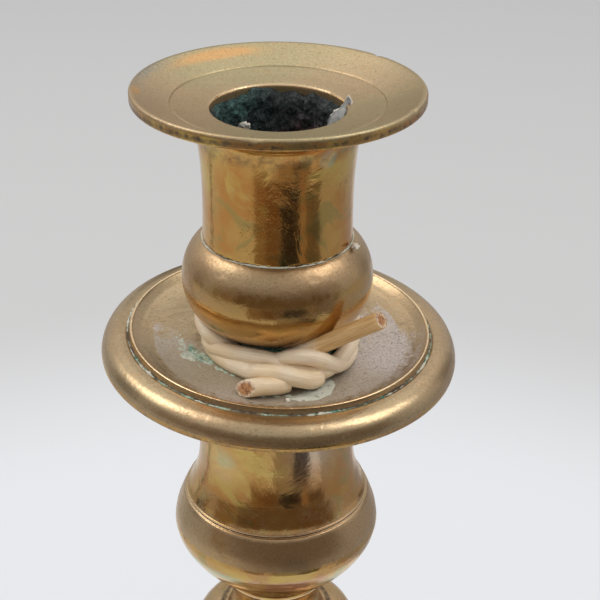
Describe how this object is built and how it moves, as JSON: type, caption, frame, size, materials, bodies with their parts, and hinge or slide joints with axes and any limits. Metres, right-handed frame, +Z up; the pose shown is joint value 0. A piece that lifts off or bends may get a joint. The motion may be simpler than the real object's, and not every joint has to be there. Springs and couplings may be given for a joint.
{
  "type": "candlestick",
  "caption": "Brass candlestick of stacked turned sections: flanged candle socket over a drip pan, screwed into a baluster stem on a domed base, with a cane tie round its neck.",
  "frame": {"origin": "centre of the base's foot, on the surface it stands on", "axes": "+Z up the stem; -Y is the side the cane tie's ends show on, +X to its right"},
  "size_m": [0.124, 0.124, 0.26],
  "materials": {
    "aged_brass": "aged, satin to half polished, with verdigris in the crevices",
    "cane": "natural dry cane",
    "old_wax": "dirty wax over verdigris",
    "iron": "dark, lightly rusted"
  },
  "bodies": {
    "root": {"upper_stem": "aged_brass", "neck_bead": "aged_brass", "baluster": "aged_brass", "lower_ring": "aged_brass", "foot_collar": "aged_brass", "base_dome": "aged_brass", "tie_rod": "iron", "base_washer": "iron", "base_nut": "iron"},
    "pan": {"drip_pan": "aged_brass", "cane_tie": "cane"},
    "nozzle": {"candle_nozzle": "aged_brass", "nozzle_knop": "aged_brass", "wax_residue": "old_wax"}
  },
  "joints": [
    {"name": "nozzle_turn", "type": "hinge", "parent": "root", "child": "pan", "pos_m": [0, 0, 0.2101], "axis": [0, 0, 1], "range_deg": [0, 1800]},
    {"name": "nozzle_lift", "type": "slide", "parent": "pan", "child": "nozzle", "axis": [0, 0, 1], "range_m": [0, 0.0075]}
  ],
  "couplings": [
    {"joint": "nozzle_lift", "follows": "nozzle_turn", "m_per_rad": 0.00023873}
  ]
}
